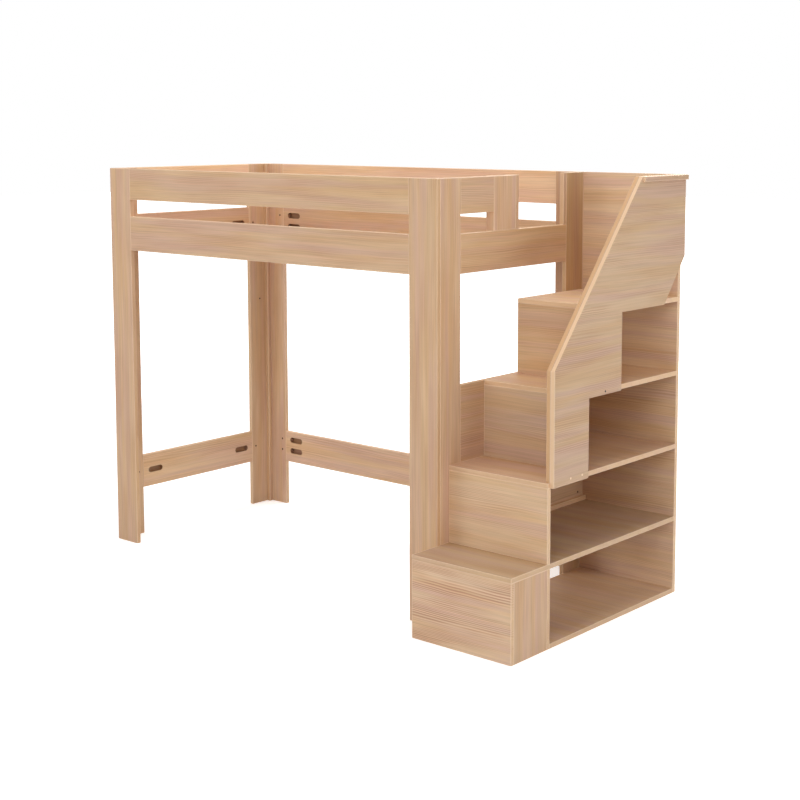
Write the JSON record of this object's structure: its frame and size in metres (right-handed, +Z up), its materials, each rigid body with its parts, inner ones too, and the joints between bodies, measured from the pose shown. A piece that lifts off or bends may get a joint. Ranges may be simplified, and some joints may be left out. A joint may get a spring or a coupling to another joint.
{
  "type": "loft bed with stairs",
  "caption": "Wooden loft bed on L-shaped legs with guard rails, a slatted deck and a stair cabinet with open shelves and a solid stepped handrail at one end.",
  "frame": {"origin": "on the floor under the middle of the whole object's bounding box", "axes": "+X along the bed towards the stair, +Y from the front to the back, +Z up"},
  "size_m": [2.5362, 1.17, 1.794],
  "materials": {
    "bed_wood": "satin clear coat on pine",
    "stair_wood": "satin clear coat on pine",
    "slat_wood": "bare pine",
    "dowel_wood": "bare beech",
    "steel": "zinc plated"
  },
  "bodies": {
    "root": {"front_left_leg_face": "bed_wood", "front_left_leg_side": "bed_wood", "front_left_leg_batten": "bed_wood", "front_right_leg_face": "bed_wood", "front_right_leg_side": "bed_wood", "front_right_leg_batten": "bed_wood", "back_left_leg_face": "bed_wood", "back_left_leg_side": "bed_wood", "back_left_leg_batten": "bed_wood", "back_right_leg_face": "bed_wood", "back_right_leg_side": "bed_wood", "back_right_leg_batten": "bed_wood", "front_guard_rail": "bed_wood", "front_side_rail": "bed_wood", "back_guard_rail": "bed_wood", "back_side_rail": "bed_wood", "back_bottom_rail": "bed_wood", "left_guard_rail": "bed_wood", "left_end_rail": "bed_wood", "left_bottom_rail": "bed_wood", "right_guard_rail": "bed_wood", "right_end_rail": "bed_wood", "right_end_panel": "bed_wood", "guard_end_post": "bed_wood", "guard_post_edge_strip": "bed_wood", "leg_edge_strip": "bed_wood", "front_ledger": "bed_wood", "back_ledger": "bed_wood", "slat_set_1": "slat_wood", "slat_set_2": "slat_wood", "slat_set_3": "slat_wood", "slat_set_4": "slat_wood", "slat_set_5": "slat_wood", "step_1_shelf": "stair_wood", "step_2_shelf": "stair_wood", "step_3_shelf": "stair_wood", "top_step": "stair_wood", "riser_1": "stair_wood", "riser_2": "stair_wood", "riser_3": "stair_wood", "riser_4": "stair_wood", "divider": "stair_wood", "floor_panel": "stair_wood", "step_1_left_side": "stair_wood", "step_1_right_side": "stair_wood", "stair_rear_panel": "stair_wood", "stair_left_panel": "stair_wood", "stair_left_cleat": "stair_wood", "handrail_outer": "stair_wood", "handrail_inner": "stair_wood", "handrail_cap": "stair_wood", "connector_bolts": "steel", "half_moon_washers": "steel", "barrel_nuts": "steel", "guard_dowels": "dowel_wood"}
  },
  "joints": []
}
